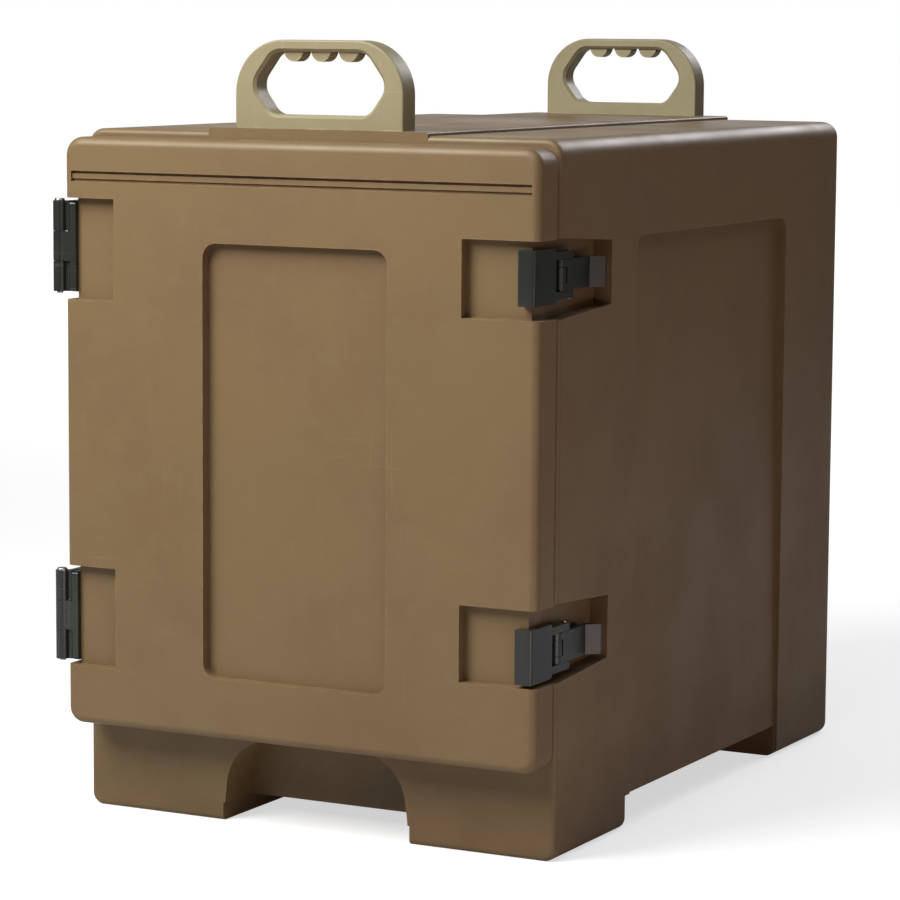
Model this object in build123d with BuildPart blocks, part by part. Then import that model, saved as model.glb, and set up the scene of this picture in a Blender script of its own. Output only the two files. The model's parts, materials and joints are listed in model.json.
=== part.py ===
from build123d import *
import math
import os

# Insulated food carrier: a front-loading, foam-filled box for five full-size food pans.
# Frame: +X to the latch side, +Y to the back, +Z up. The origin is on the floor, on the body's
# centre plane, midway between the door's front and the body's back. All sizes are millimetres.

os.makedirs("parts", exist_ok=True)

# Cutting shapes run PAST a face, and shapes that join lap by LAP, so that no two faces coincide
PAST = 5.0
LAP = 1.0

# Body
BODY_HALF = 216.0
BODY_FRONT = -280.0
BODY_BACK = 316.0
BODY_TOP = 566.0
SKIN = 4.0
REAR_CORNER = 22.0
TOP_EDGE = 14.0
FOOT_EDGE = 10.0
FRONT_EDGE = 4.0
SEAT_HALF = 100.0
SEAT_TOP = 569.0
SEAT_ROOT = 30.0
SEAT_EDGE = 2.0

# Base: channels under the body leave four feet, with an arch cut in at the front and the back
KEEL_HALF = 87.0
KEEL_TOP = 15.0
SIDE_GAP_TOP = 28.0
SIDE_GAP = (-148.0, 176.0)
ARCH_TOP = 72.0
ARCH_HALF_TOP = 79.0
ARCH_ROUND = 44.0
ARCH_DEPTH = 42.0

# Shallow panel moulded into each side
PANEL = (-139.0, 179.0)
PANEL_TOP = 485.0
PANEL_DEPTH_TOP = 8.0
PANEL_DEPTH_LOW = 2.5
PANEL_ROUND = 14.0

# Cavity for the pans
CAVITY_HALF = 170.0
CAVITY_FLOOR = 112.0
CAVITY_TOP = 512.0
CAVITY_BACK = 270.0
CAVITY_ROUND = 16.0
LINER = 4.0
LEDGE_COUNT = 5
LEDGE_FIRST = 182.0
LEDGE_PITCH = 76.0
LEDGE_REACH = 14.0
LEDGE_THICK = 8.0
LEDGE_ENDS = (-258.0, 254.0)
LEDGE_EDGE = 1.5

# Door
DOOR_FRONT = -316.0
DOOR_THICK = 30.0
DOOR_BACK = DOOR_FRONT + DOOR_THICK
DOOR_LOW = 76.0
DOOR_TOP = 560.0
DOOR_TOP_ROUND = 15.0
DOOR_LOW_ROUND = 13.0
DOOR_EDGE = 7.0
PLUG_GAP = 4.0
PLUG_REACH = 16.0
PLUG_ROUND = 12.0
PLUG_EDGE = 4.0
LID_THICK = 4.0
DISH_HALF = 84.0
DISH = (126.0, 478.0)
DISH_DEPTH = 8.5
DISH_ROUND = 12.0
GROOVE = (524.0, 532.5)
GROOVE_HALF = 209.0
GROOVE_DEPTH = 3.5
BEAD_HEIGHT = 4.0
BEAD_DEPTH = 1.8
GASKET_GAP = 0.4
GASKET_WIDTH = 13.0
GASKET_INSET = 4.0
GASKET_EDGE = 1.8

# Hinges: one pin line clear of the door's corner lets the door fold back along the side
HINGES = {"upper": (470.5, 469.0), "lower": (165.0, 166.5)}
PIN_OUT = 9.0
PIN_BEHIND = 7.5
PIN_X = -BODY_HALF - PIN_OUT
PIN_Y = DOOR_FRONT + PIN_BEHIND
PIN_R = 2.5
PIN_FIT = 0.07
BARREL_R = 5.5
HINGE_HALF = 37.0
KNUCKLE_HALF = 12.0
KNUCKLE_GAP = 0.5
LEAF = 5.0
LEAF_END = -254.0
LEAF_ROUND = 8.0
LEAF_EDGE = 1.5
DOOR_LEAF = 5.5
DOOR_LEAF_LEAD = 3.0
DOOR_LEAF_ROUND = 3.0
KNUCKLE_WEB = 2.0
PIN_TAIL = 1.5
PIN_HEAD = 2.0
PIN_HEAD_R = 4.3
HELD_FIT = 0.01
HINGE_POCKET_HALF = 41.5
HINGE_POCKET_IN = 48.0
HINGE_POCKET_DEPTH = 9.0
HINGE_NOTCH = 8.0

# Latches: (centre of the latch, centre of its pocket) for each
LATCHES = {"upper": (461.0, 459.0), "lower": (168.5, 174.5)}
POCKET_DEPTH = 16.0
POCKET_BACK = -186.0
POCKET_HALF_FRONT = 32.0
POCKET_HALF_BACK = 25.5
DOOR_POCKET_HALF = 30.5
DOOR_POCKET_IN = 67.0
DOOR_POCKET_DEPTH = 9.0
DOOR_NOTCH = 11.0
BASE_THICK = 3.0
BASE = (-273.0, -214.0)
BASE_ROUND = 3.0
LEVER_HALF = 12.0
LEVER_PIVOT = (208.5, -266.0)
HOOK_PIVOT = (208.0, -250.0)
LUG_HALF = 6.0
LUG_R = 5.0
LUG_PLAY = 0.6
LATCH_PIN_R = 2.0
LATCH_BOSS_R = 4.6
LEVER_FACES = (207.5, 212.5)
LEVER_END = -208.0
LEVER_EDGE = 1.0
LEVER_CORNER = 4.0
FINGER_REACH = 222.0
FINGER_TIP = 3.0
FINGER_ROOT = 12.0
HOOK_HALF = 21.5
HOOK_FACES = (206.2, 212.4)
HOOK_ARM = 6.0
HOOK_LIP_REACH = 198.0
HOOK_FRONT = -317.0
HOOK_LIP = 9.3
HOOK_ROUND = 3.0
HOOK_PIN_END = 0.8
SIDE_PLAY = 0.4

# Handles
HANDLE_HALF = 76.5
HANDLE_TOP = 639.5
HANDLE_ROUND = 43.0
HANDLE_THICK = 21.0
HANDLE_EDGE = 1.6
FRONT_HANDLE_Y = -277.0
REAR_HANDLE_Y = 294.0
GRIP_WAIST = 603.5
GRIP_WAIST_HALF = 61.5
GRIP_TOP = 630.3
GRIP_TOP_HALF = 42.0
GRIP_LOW = 580.0
GRIP_LOW_HALF = 44.5
GRIP_RIM = 2.4
GRIP_ROUND = 14.0
BUMP_PITCH = 25.0
BUMP_DROP = 8.0
BUMP_HALF = 9.0
BUMP_INSET = 4.0
BUMP_ROOT = 2.0
BUMP_TRIM = 1.5
HANDLE_SCREWS = (-30.0, 30.0)

# Screws and the inserts they thread into
SCREW_R = 2.5
HEAD_R = 4.5
HEAD_H = 2.6
HEAD_EDGE = 1.2
LOW_HEAD_H = 1.8
LOW_HEAD_EDGE = 0.8
HANDLE_HEAD_EDGE = 1.0
HEAD_SINK = 1.0
SCREW_PLAY = 0.15
INSERT_R = 4.5
INSERT_LENGTH = 12.0
SCREW_GRIP = 10.0


# Shapes shared by several parts. Each adds to, or cuts from, the part being built.

def block(x, y, z, mode=Mode.ADD):
    """A box between the two limits given along each axis."""
    with BuildSketch(Plane.XY.offset(z[0])) as base:
        with Locations(((x[0] + x[1]) / 2, (y[0] + y[1]) / 2)):
            Rectangle(x[1] - x[0], y[1] - y[0])
    extrude(base.sketch, amount=z[1] - z[0], mode=mode)


def prism_x(points, x, mode=Mode.ADD):
    """An outline of (y, z) points carried along X."""
    with BuildSketch(Plane.YZ.offset(x[0])) as base:
        with BuildLine():
            Polyline(*points, close=True)
        make_face()
    extrude(base.sketch, amount=x[1] - x[0], mode=mode)


def prism_y(points, y, mode=Mode.ADD):
    """An outline of (x, z) points carried along Y."""
    with BuildSketch(Plane.XZ.offset(-y[1])) as base:
        with BuildLine():
            Polyline(*points, close=True)
        make_face()
    extrude(base.sketch, amount=y[1] - y[0], mode=mode)


def round_prism_y(x, y, z, radius, mode=Mode.ADD):
    """A box with its four edges along Y rounded."""
    with BuildSketch(Plane.XZ.offset(-y[1])) as base:
        with Locations(((x[0] + x[1]) / 2, (z[0] + z[1]) / 2)):
            RectangleRounded(x[1] - x[0], z[1] - z[0], radius)
    extrude(base.sketch, amount=y[1] - y[0], mode=mode)


def rod_x(y, z, x, radius, mode=Mode.ADD):
    """A round bar along X."""
    with BuildSketch(Plane.YZ.offset(x[0])) as base:
        with Locations((y, z)):
            Circle(radius)
    extrude(base.sketch, amount=x[1] - x[0], mode=mode)


def rod_z(x, y, z, radius, mode=Mode.ADD):
    """A round bar along Z."""
    with BuildSketch(Plane.XY.offset(z[0])) as base:
        with Locations((x, y)):
            Circle(radius)
    extrude(base.sketch, amount=z[1] - z[0], mode=mode)


def span(centre, half):
    """The two limits either side of a centre."""
    return (centre - half, centre + half)


def near(edge, axis, value, play=0.2):
    """Whether an edge's middle lies at a value along an axis."""
    return abs(getattr(edge.center(), axis) - value) < play


def save(part, name):
    """Label a finished part and write it."""
    part.label = name
    export_step(part, f"parts/{name}.step")


# Where the screws sit
HANDLE_YS = {
    "front": FRONT_HANDLE_Y + HANDLE_THICK / 2,
    "rear": REAR_HANDLE_Y + HANDLE_THICK / 2,
}
BODY_LEAF_Y = -264.0
DOOR_LEAF_Y = -295.0
HINGE_SCREW_Z = 25.0
LATCH_SCREW_YS = (-237.0, -222.0)
BASE_FACE = BODY_HALF - POCKET_DEPTH + BASE_THICK
NOTCH_FACE = -BODY_HALF + HINGE_NOTCH
DOOR_LEAF_FACE = NOTCH_FACE - DOOR_LEAF


def body_form(form, skin):
    """The body's outside, moved inwards by skin: 0 gives the shell, SKIN gives the foam."""
    half = BODY_HALF - skin
    front = BODY_FRONT + skin
    back = BODY_BACK - skin
    block((-half, half), (front, back), (skin, BODY_TOP - skin))
    fillet(form.edges().filter_by(Axis.Z).group_by(Axis.Y)[-1], REAR_CORNER - skin)
    top = form.faces().sort_by(Axis.Z)[-1]
    fillet(top.edges().sort_by(Axis.Y)[1:], TOP_EDGE - skin)
    bottom = form.faces().sort_by(Axis.Z)[0]
    fillet(bottom.edges().sort_by(Axis.Y)[1:], FOOT_EDGE - skin)
    if skin == 0:
        fillet(form.faces().sort_by(Axis.Y)[0].edges(), FRONT_EDGE)

    # Low raised seat that the two handles stand on
    block((-SEAT_HALF + skin, SEAT_HALF - skin), (front, back), (BODY_TOP - SEAT_ROOT, SEAT_TOP - skin))

    # Channels and arches between the feet
    cut = Mode.SUBTRACT
    keel = KEEL_HALF + skin
    all_y = (BODY_FRONT - PAST, BODY_BACK + PAST)
    block((-keel, keel), all_y, (-PAST, KEEL_TOP + skin), cut)
    gap = (SIDE_GAP[0] - skin, SIDE_GAP[1] + skin)
    gap_from = KEEL_HALF - LAP - skin
    block((-BODY_HALF - PAST, -gap_from), gap, (-PAST, SIDE_GAP_TOP + skin), cut)
    block((gap_from, BODY_HALF + PAST), gap, (-PAST, SIDE_GAP_TOP + skin), cut)
    slope = (KEEL_HALF - ARCH_HALF_TOP) / ARCH_TOP
    top_half = ARCH_HALF_TOP + skin
    low_half = top_half + slope * (ARCH_TOP + skin + PAST)
    for near_y, far_y in (
        (BODY_FRONT - PAST, BODY_FRONT + ARCH_DEPTH + skin),
        (BODY_BACK - ARCH_DEPTH - skin, BODY_BACK + PAST),
    ):
        with BuildSketch(Plane.XZ.offset(-far_y)) as arch:
            with BuildLine():
                Polyline(
                    (-low_half, -PAST),
                    (-top_half, ARCH_TOP + skin),
                    (top_half, ARCH_TOP + skin),
                    (low_half, -PAST),
                    close=True,
                )
            make_face()
            fillet(arch.vertices().group_by(Axis.Y)[-1], ARCH_ROUND + skin)
        extrude(arch.sketch, amount=far_y - near_y, mode=cut)

    # Side panels, deeper at the top than at the bottom
    tilt = math.atan((PANEL_DEPTH_TOP - PANEL_DEPTH_LOW) / (PANEL_TOP - SIDE_GAP_TOP))
    height = PANEL_TOP + PAST + skin
    for side in (-1, 1):
        floor = Plane(
            origin=(side * (BODY_HALF - PANEL_DEPTH_TOP - skin), sum(PANEL) / 2, PANEL_TOP + skin),
            x_dir=(0, side, 0),
            z_dir=(side * math.cos(tilt), 0, math.sin(tilt)),
        )
        with BuildSketch(floor) as panel:
            with Locations((0, -height)):
                RectangleRounded(PANEL[1] - PANEL[0] + 2 * skin, 2 * height, PANEL_ROUND + skin)
        extrude(panel.sketch, amount=PANEL_DEPTH_TOP + skin + PAST, mode=cut)

    # Latch pockets, open to the front
    for _, pocket_z in LATCHES.values():
        back_y = POCKET_BACK + skin
        high = POCKET_HALF_FRONT + skin
        low = POCKET_HALF_BACK + skin
        prism_x(
            (
                (BODY_FRONT - PAST, pocket_z - high),
                (back_y, pocket_z - low),
                (back_y, pocket_z + low),
                (BODY_FRONT - PAST, pocket_z + high),
            ),
            (BODY_HALF - POCKET_DEPTH - skin, BODY_HALF + PAST),
            cut,
        )


def body_inserts(radius, mode):
    """Bars standing where the body's screw inserts are moulded in."""
    for centre, _ in HINGES.values():
        for z in (centre - HINGE_SCREW_Z, centre + HINGE_SCREW_Z):
            rod_x(BODY_LEAF_Y, z, (-BODY_HALF + SKIN, -BODY_HALF + SKIN + INSERT_LENGTH), radius, mode)
    floor = BODY_HALF - POCKET_DEPTH - SKIN
    for centre, _ in LATCHES.values():
        for y in LATCH_SCREW_YS:
            rod_x(y, centre, (floor - INSERT_LENGTH, floor), radius, mode)
    for y in HANDLE_YS.values():
        for x in HANDLE_SCREWS:
            rod_z(x, y, (SEAT_TOP - SKIN - INSERT_LENGTH, SEAT_TOP - SKIN), radius, mode)


def body_screw_holes():
    """Clearance holes through the outer skin for the body's screws."""
    hole = SCREW_R + SCREW_PLAY
    cut = Mode.SUBTRACT
    for centre, _ in HINGES.values():
        for z in (centre - HINGE_SCREW_Z, centre + HINGE_SCREW_Z):
            rod_x(BODY_LEAF_Y, z, (-BODY_HALF - LAP, -BODY_HALF + SKIN), hole, cut)
    for centre, _ in LATCHES.values():
        for y in LATCH_SCREW_YS:
            rod_x(y, centre, (BODY_HALF - POCKET_DEPTH - SKIN, BODY_HALF), hole, cut)
    for y in HANDLE_YS.values():
        for x in HANDLE_SCREWS:
            rod_z(x, y, (SEAT_TOP - SKIN, SEAT_TOP + LAP), hole, cut)


CAVITY_X = (-CAVITY_HALF, CAVITY_HALF)
CAVITY_Z = (CAVITY_FLOOR, CAVITY_TOP)
LINER_X = (-CAVITY_HALF - LINER, CAVITY_HALF + LINER)
LINER_Z = (CAVITY_FLOOR - LINER, CAVITY_TOP + LINER)
LINER_BACK = CAVITY_BACK + LINER
LEDGE_TIP = CAVITY_HALF - LEDGE_REACH


# Foam's outside form, which is also the hollow of the outer shell
with BuildPart() as core:
    body_form(core, SKIN)

# Outer shell of the body
with BuildPart() as outer_shell:
    body_form(outer_shell, 0)
    edges = outer_shell.edges().filter_by(Axis.Y)
    seat_edges = [e for e in edges if near(e, "Z", SEAT_TOP) and abs(e.center().X) > SEAT_HALF - LAP]
    fillet(seat_edges, SEAT_EDGE)
    add(core.part, mode=Mode.SUBTRACT)
    mouth_y = (BODY_FRONT - LAP, BODY_FRONT + SKIN + LAP)
    round_prism_y(LINER_X, mouth_y, LINER_Z, CAVITY_ROUND + LINER, Mode.SUBTRACT)
    body_screw_holes()
save(outer_shell.part, "outer_shell")

# Cavity liner with its pan ledges
with BuildPart() as cavity_liner:
    round_prism_y(LINER_X, (BODY_FRONT, LINER_BACK), LINER_Z, CAVITY_ROUND + LINER)
    round_prism_y(
        CAVITY_X, (BODY_FRONT - LAP, CAVITY_BACK), CAVITY_Z, CAVITY_ROUND, Mode.SUBTRACT
    )
    for row in range(LEDGE_COUNT):
        top = LEDGE_FIRST + row * LEDGE_PITCH
        for side in (-1, 1):
            wall = side * (CAVITY_HALF + LAP)
            tip = side * LEDGE_TIP
            prism_y(
                (
                    (wall, top),
                    (tip, top),
                    (tip, top - LEDGE_THICK / 2),
                    (wall, top - LEDGE_THICK / 2 - LEDGE_REACH),
                ),
                LEDGE_ENDS,
            )
    tips = cavity_liner.edges().filter_by(Axis.Y)
    ledge_tips = [e for e in tips if near(e, "X", LEDGE_TIP) or near(e, "X", -LEDGE_TIP)]
    fillet(ledge_tips, LEDGE_EDGE)
save(cavity_liner.part, "cavity_liner")

# Insulating foam between the shell and the liner
with BuildPart() as body_foam:
    add(core.part)
    round_prism_y(LINER_X, (BODY_FRONT, LINER_BACK), LINER_Z, CAVITY_ROUND + LINER, Mode.SUBTRACT)
    body_inserts(INSERT_R, Mode.SUBTRACT)
save(body_foam.part, "body_foam")

# Threaded inserts moulded into the body
with BuildPart() as body_threaded_inserts:
    body_inserts(INSERT_R, Mode.ADD)
    body_inserts(SCREW_R + SCREW_PLAY, Mode.SUBTRACT)
save(body_threaded_inserts.part, "body_threaded_inserts")


def door_form(form, skin):
    """The door's outside, moved inwards by skin and open at the back when skin isn't 0."""
    half = BODY_HALF - skin
    back = DOOR_BACK if skin == 0 else DOOR_BACK + LAP
    block((-half, half), (DOOR_FRONT + skin, back), (DOOR_LOW + skin, DOOR_TOP - skin))
    long_edges = form.edges().filter_by(Axis.Y).group_by(Axis.Z)
    fillet(long_edges[-1], DOOR_TOP_ROUND - skin)
    fillet(form.edges().filter_by(Axis.Y).group_by(Axis.Z)[0], DOOR_LOW_ROUND - skin)
    front = form.faces().sort_by(Axis.Y)[0]
    fillet(front.edges(), DOOR_EDGE - skin)
    cut = Mode.SUBTRACT

    # Dished panel in the middle
    front_y = (DOOR_FRONT - PAST, DOOR_FRONT + DISH_DEPTH + skin)
    dish_x = (-DISH_HALF - skin, DISH_HALF + skin)
    round_prism_y(dish_x, front_y, (DISH[0] - skin, DISH[1] + skin), DISH_ROUND + skin, cut)

    # Groove across the top
    groove_y = (DOOR_FRONT - PAST, DOOR_FRONT + GROOVE_DEPTH + skin)
    groove_x = (-GROOVE_HALF - skin, GROOVE_HALF + skin)
    block(groove_x, groove_y, (GROOVE[0] - skin, GROOVE[1] + skin), cut)

    # Latch pockets on one edge, and pockets on the other that clear the hinges when folded back
    pocket_y = (DOOR_FRONT - PAST, DOOR_FRONT + DOOR_POCKET_DEPTH + skin)
    all_y = (DOOR_FRONT - PAST, DOOR_BACK + PAST)
    edge = BODY_HALF + PAST
    for _, centre in LATCHES.values():
        pocket_z = span(centre, DOOR_POCKET_HALF + skin)
        block((BODY_HALF - DOOR_POCKET_IN - skin, edge), pocket_y, pocket_z, cut)
        block((BODY_HALF - DOOR_NOTCH - skin, edge), all_y, pocket_z, cut)
    for _, centre in HINGES.values():
        pocket_z = span(centre, HINGE_POCKET_HALF + skin)
        block((-edge, -BODY_HALF + HINGE_POCKET_IN + skin), pocket_y, pocket_z, cut)
        block((-edge, NOTCH_FACE + skin), all_y, pocket_z, cut)


def door_inserts(radius, mode):
    """Bars standing where the door's screw inserts are moulded in."""
    for centre, _ in HINGES.values():
        for z in (centre - HINGE_SCREW_Z, centre + HINGE_SCREW_Z):
            rod_x(DOOR_LEAF_Y, z, (NOTCH_FACE + SKIN, NOTCH_FACE + SKIN + INSERT_LENGTH), radius, mode)


PLUG_X = span(0, CAVITY_HALF - PLUG_GAP)
PLUG_Z = (CAVITY_FLOOR + PLUG_GAP, CAVITY_TOP - PLUG_GAP)
LID_BACK = DOOR_BACK
LID_FRONT = DOOR_BACK - LID_THICK
PLUG_BACK = BODY_FRONT + PLUG_REACH

# Hollow of the door shell
with BuildPart() as door_core:
    door_form(door_core, SKIN)

# Outer shell of the door
with BuildPart() as door_shell:
    door_form(door_shell, 0)
    groove_middle = sum(GROOVE) / 2
    block(
        span(0, GROOVE_HALF),
        (DOOR_FRONT + BEAD_DEPTH, DOOR_FRONT + GROOVE_DEPTH + LAP),
        span(groove_middle, BEAD_HEIGHT / 2),
    )
    add(door_core.part, mode=Mode.SUBTRACT)
    for centre, _ in HINGES.values():
        for z in (centre - HINGE_SCREW_Z, centre + HINGE_SCREW_Z):
            hole_x = (NOTCH_FACE - LAP, NOTCH_FACE + SKIN)
            rod_x(DOOR_LEAF_Y, z, hole_x, SCREW_R + SCREW_PLAY, Mode.SUBTRACT)
save(door_shell.part, "door_shell")

# Inner lid of the door, with the plug that enters the cavity's mouth
with BuildPart() as door_inner_lid:
    add(door_core.part)
    block((-BODY_HALF, BODY_HALF), (DOOR_FRONT, LID_FRONT), (DOOR_LOW, DOOR_TOP), Mode.SUBTRACT)
    block((-BODY_HALF, BODY_HALF), (LID_BACK, LID_BACK + PAST), (DOOR_LOW, DOOR_TOP), Mode.SUBTRACT)
    round_prism_y(PLUG_X, (LID_FRONT, PLUG_BACK), PLUG_Z, PLUG_ROUND)
    plug_face = door_inner_lid.faces().sort_by(Axis.Y)[-1]
    fillet(plug_face.edges(), PLUG_EDGE)
    round_prism_y(
        (PLUG_X[0] + LID_THICK, PLUG_X[1] - LID_THICK),
        (LID_FRONT - LAP, PLUG_BACK - LID_THICK),
        (PLUG_Z[0] + LID_THICK, PLUG_Z[1] - LID_THICK),
        PLUG_ROUND - LID_THICK,
        Mode.SUBTRACT,
    )
save(door_inner_lid.part, "door_inner_lid")

# Insulating foam in the door
with BuildPart() as door_foam:
    add(door_core.part)
    block((-BODY_HALF, BODY_HALF), (LID_FRONT, LID_BACK + PAST), (DOOR_LOW, DOOR_TOP), Mode.SUBTRACT)
    round_prism_y(
        (PLUG_X[0] + LID_THICK, PLUG_X[1] - LID_THICK),
        (LID_FRONT, PLUG_BACK - LID_THICK),
        (PLUG_Z[0] + LID_THICK, PLUG_Z[1] - LID_THICK),
        PLUG_ROUND - LID_THICK,
    )
    door_inserts(INSERT_R, Mode.SUBTRACT)
save(door_foam.part, "door_foam")

# Threaded inserts moulded into the door's hinge edge
with BuildPart() as door_threaded_inserts:
    door_inserts(INSERT_R, Mode.ADD)
    door_inserts(SCREW_R + SCREW_PLAY, Mode.SUBTRACT)
save(door_threaded_inserts.part, "door_threaded_inserts")

# Door gasket: a rubber ring round the plug that meets the body's front face
with BuildPart() as door_gasket:
    gasket_y = (DOOR_BACK, BODY_FRONT - GASKET_GAP)
    inner = GASKET_INSET
    outer = GASKET_INSET + GASKET_WIDTH
    ring_x = (CAVITY_X[0] - outer, CAVITY_X[1] + outer)
    ring_z = (CAVITY_Z[0] - outer, CAVITY_Z[1] + outer)
    round_prism_y(ring_x, gasket_y, ring_z, CAVITY_ROUND + outer)
    hollow_x = (CAVITY_X[0] - inner, CAVITY_X[1] + inner)
    hollow_z = (CAVITY_Z[0] - inner, CAVITY_Z[1] + inner)
    round_prism_y(hollow_x, gasket_y, hollow_z, CAVITY_ROUND + inner, Mode.SUBTRACT)
    lip = door_gasket.faces().sort_by(Axis.Y)[-1]
    fillet(lip.edges(), GASKET_EDGE)
save(door_gasket.part, "door_gasket")

# Hinges
for place, (centre, _) in HINGES.items():
    whole = span(centre, HINGE_HALF)
    middle = span(centre, KNUCKLE_HALF)
    cut_out = span(centre, KNUCKLE_HALF + KNUCKLE_GAP)
    leaf_x = (-BODY_HALF - LEAF, -BODY_HALF)
    screws_z = (centre - HINGE_SCREW_Z, centre + HINGE_SCREW_Z)

    with BuildPart() as body_leaf:
        block(leaf_x, (PIN_Y, LEAF_END), whole)
        block((PIN_X, -BODY_HALF), (PIN_Y, PIN_Y + BARREL_R), whole)
        fillet(body_leaf.edges().filter_by(Axis.X).group_by(Axis.Y)[-1], LEAF_ROUND)
        outer_edges = body_leaf.faces().sort_by(Axis.X)[0:2].sort_by(Axis.Y)[-1].edges()
        fillet(outer_edges.filter_by(Axis.X, reverse=True).sort_by(Axis.Y)[-3:], LEAF_EDGE)
        rod_z(PIN_X, PIN_Y, whole, BARREL_R)
        cut_x = (PIN_X - 2 * BARREL_R, -BODY_HALF + LAP)
        block(cut_x, (PIN_Y - 2 * BARREL_R, PIN_Y + BARREL_R), cut_out, Mode.SUBTRACT)
        corner_y = (PIN_Y, PIN_Y + BARREL_R + 2 * LEAF_EDGE)
        block((cut_x[0], leaf_x[0]), corner_y, cut_out, Mode.SUBTRACT)
        rod_z(PIN_X, PIN_Y, whole, PIN_R + HELD_FIT, Mode.SUBTRACT)
        for z in screws_z:
            rod_x(BODY_LEAF_Y, z, leaf_x, SCREW_R + SCREW_PLAY, Mode.SUBTRACT)
    save(body_leaf.part, f"{place}_hinge_body_leaf")

    with BuildPart() as door_leaf:
        block((DOOR_LEAF_FACE, NOTCH_FACE), (PIN_Y - DOOR_LEAF_LEAD, DOOR_BACK - LAP), whole)
        fillet(door_leaf.edges().filter_by(Axis.X), DOOR_LEAF_ROUND)
        web_y = (PIN_Y - DOOR_LEAF_LEAD, PIN_Y + KNUCKLE_WEB)
        block((PIN_X, DOOR_LEAF_FACE + LAP), web_y, middle)
        rod_z(PIN_X, PIN_Y, middle, BARREL_R)
        rod_z(PIN_X, PIN_Y, middle, PIN_R + PIN_FIT, Mode.SUBTRACT)
        for z in screws_z:
            leaf_hole = (DOOR_LEAF_FACE, NOTCH_FACE)
            rod_x(DOOR_LEAF_Y, z, leaf_hole, SCREW_R + SCREW_PLAY, Mode.SUBTRACT)
    save(door_leaf.part, f"{place}_hinge_door_leaf")

    with BuildPart() as hinge_pin:
        rod_z(PIN_X, PIN_Y, (whole[0] - PIN_TAIL, whole[1]), PIN_R)
        rod_z(PIN_X, PIN_Y, (whole[1], whole[1] + PIN_HEAD), PIN_HEAD_R)
        fillet(hinge_pin.edges().group_by(Axis.Z)[-1], HEAD_EDGE)
    save(hinge_pin.part, f"{place}_hinge_pin")

    with BuildPart() as body_leaf_screws:
        for z in screws_z:
            shank = (leaf_x[0], leaf_x[0] + LEAF + SCREW_GRIP)
            rod_x(BODY_LEAF_Y, z, shank, SCREW_R)
            rod_x(BODY_LEAF_Y, z, (leaf_x[0] - HEAD_H, leaf_x[0]), HEAD_R)
        fillet(body_leaf_screws.edges().group_by(Axis.X)[0], HEAD_EDGE)
    save(body_leaf_screws.part, f"{place}_hinge_body_screws")

    with BuildPart() as door_leaf_screws:
        for z in screws_z:
            shank = (DOOR_LEAF_FACE, DOOR_LEAF_FACE + LEAF + SCREW_GRIP)
            rod_x(DOOR_LEAF_Y, z, shank, SCREW_R)
            rod_x(DOOR_LEAF_Y, z, (DOOR_LEAF_FACE - LOW_HEAD_H, DOOR_LEAF_FACE), HEAD_R)
        fillet(door_leaf_screws.edges().group_by(Axis.X)[0], LOW_HEAD_EDGE)
    save(door_leaf_screws.part, f"{place}_hinge_door_screws")

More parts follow.
